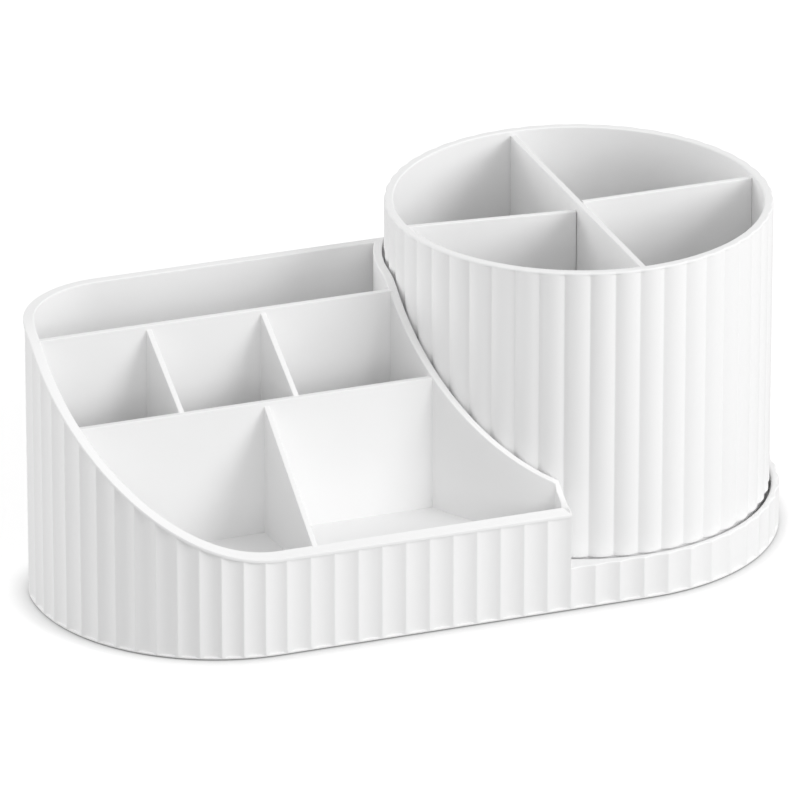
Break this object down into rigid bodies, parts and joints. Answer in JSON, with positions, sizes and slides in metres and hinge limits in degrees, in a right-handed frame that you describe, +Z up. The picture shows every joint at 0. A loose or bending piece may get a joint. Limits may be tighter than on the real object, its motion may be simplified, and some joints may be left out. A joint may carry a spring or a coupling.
{
  "type": "rotating makeup organizer",
  "caption": "Desk organizer for make-up: a fluted, stepped tray with a sloping rim and dividers, joined to a reeded round brush cup that spins in a low ring.",
  "frame": {"origin": "middle of the overall footprint, on the table under the feet", "axes": "+X to the right, from the tray to the turning cup; +Y from the low front of the tray to its high back; +Z up, along the cup's axis"},
  "size_m": [0.2626, 0.1372, 0.1177],
  "materials": {
    "white_plastic": "satin white",
    "bearing_plastic": "natural",
    "steel": "bright",
    "soft_foot": "matt grey"
  },
  "bodies": {
    "stand": {"tray_body": "white_plastic", "base_plate": "white_plastic", "foot_1": "soft_foot", "foot_2": "soft_foot", "foot_3": "soft_foot", "foot_4": "soft_foot", "foot_5": "soft_foot", "foot_6": "soft_foot", "base_screw_1": "steel", "base_screw_2": "steel", "base_screw_3": "steel", "base_screw_4": "steel", "base_screw_5": "steel", "base_screw_6": "steel", "lower_race": "bearing_plastic", "lower_race_screw_1": "steel", "lower_race_screw_2": "steel", "lower_race_screw_3": "steel"},
    "cup": {"cup_shell": "white_plastic", "cup_divider_long": "white_plastic", "cup_divider_cross": "white_plastic", "upper_race": "bearing_plastic", "upper_race_screw_1": "steel", "upper_race_screw_2": "steel", "upper_race_screw_3": "steel", "pivot_screw": "steel", "pivot_washer": "steel"},
    "cage": {"ball_cage": "bearing_plastic", "ball_01": "steel", "ball_02": "steel", "ball_03": "steel", "ball_04": "steel", "ball_05": "steel", "ball_06": "steel", "ball_07": "steel", "ball_08": "steel", "ball_09": "steel", "ball_10": "steel", "ball_11": "steel", "ball_12": "steel"}
  },
  "joints": [
    {"name": "cup_turn", "type": "hinge", "parent": "stand", "child": "cup", "pos_m": [0.06285, 0.00015, 0.018], "axis": [0, 0, 1], "continuous": true},
    {"name": "cage_turn", "type": "hinge", "parent": "stand", "child": "cage", "pos_m": [0.06285, 0.00015, 0.0117], "axis": [0, 0, 1], "continuous": true}
  ],
  "couplings": [
    {"joint": "cage_turn", "follows": "cup_turn", "ratio": 0.5}
  ]
}
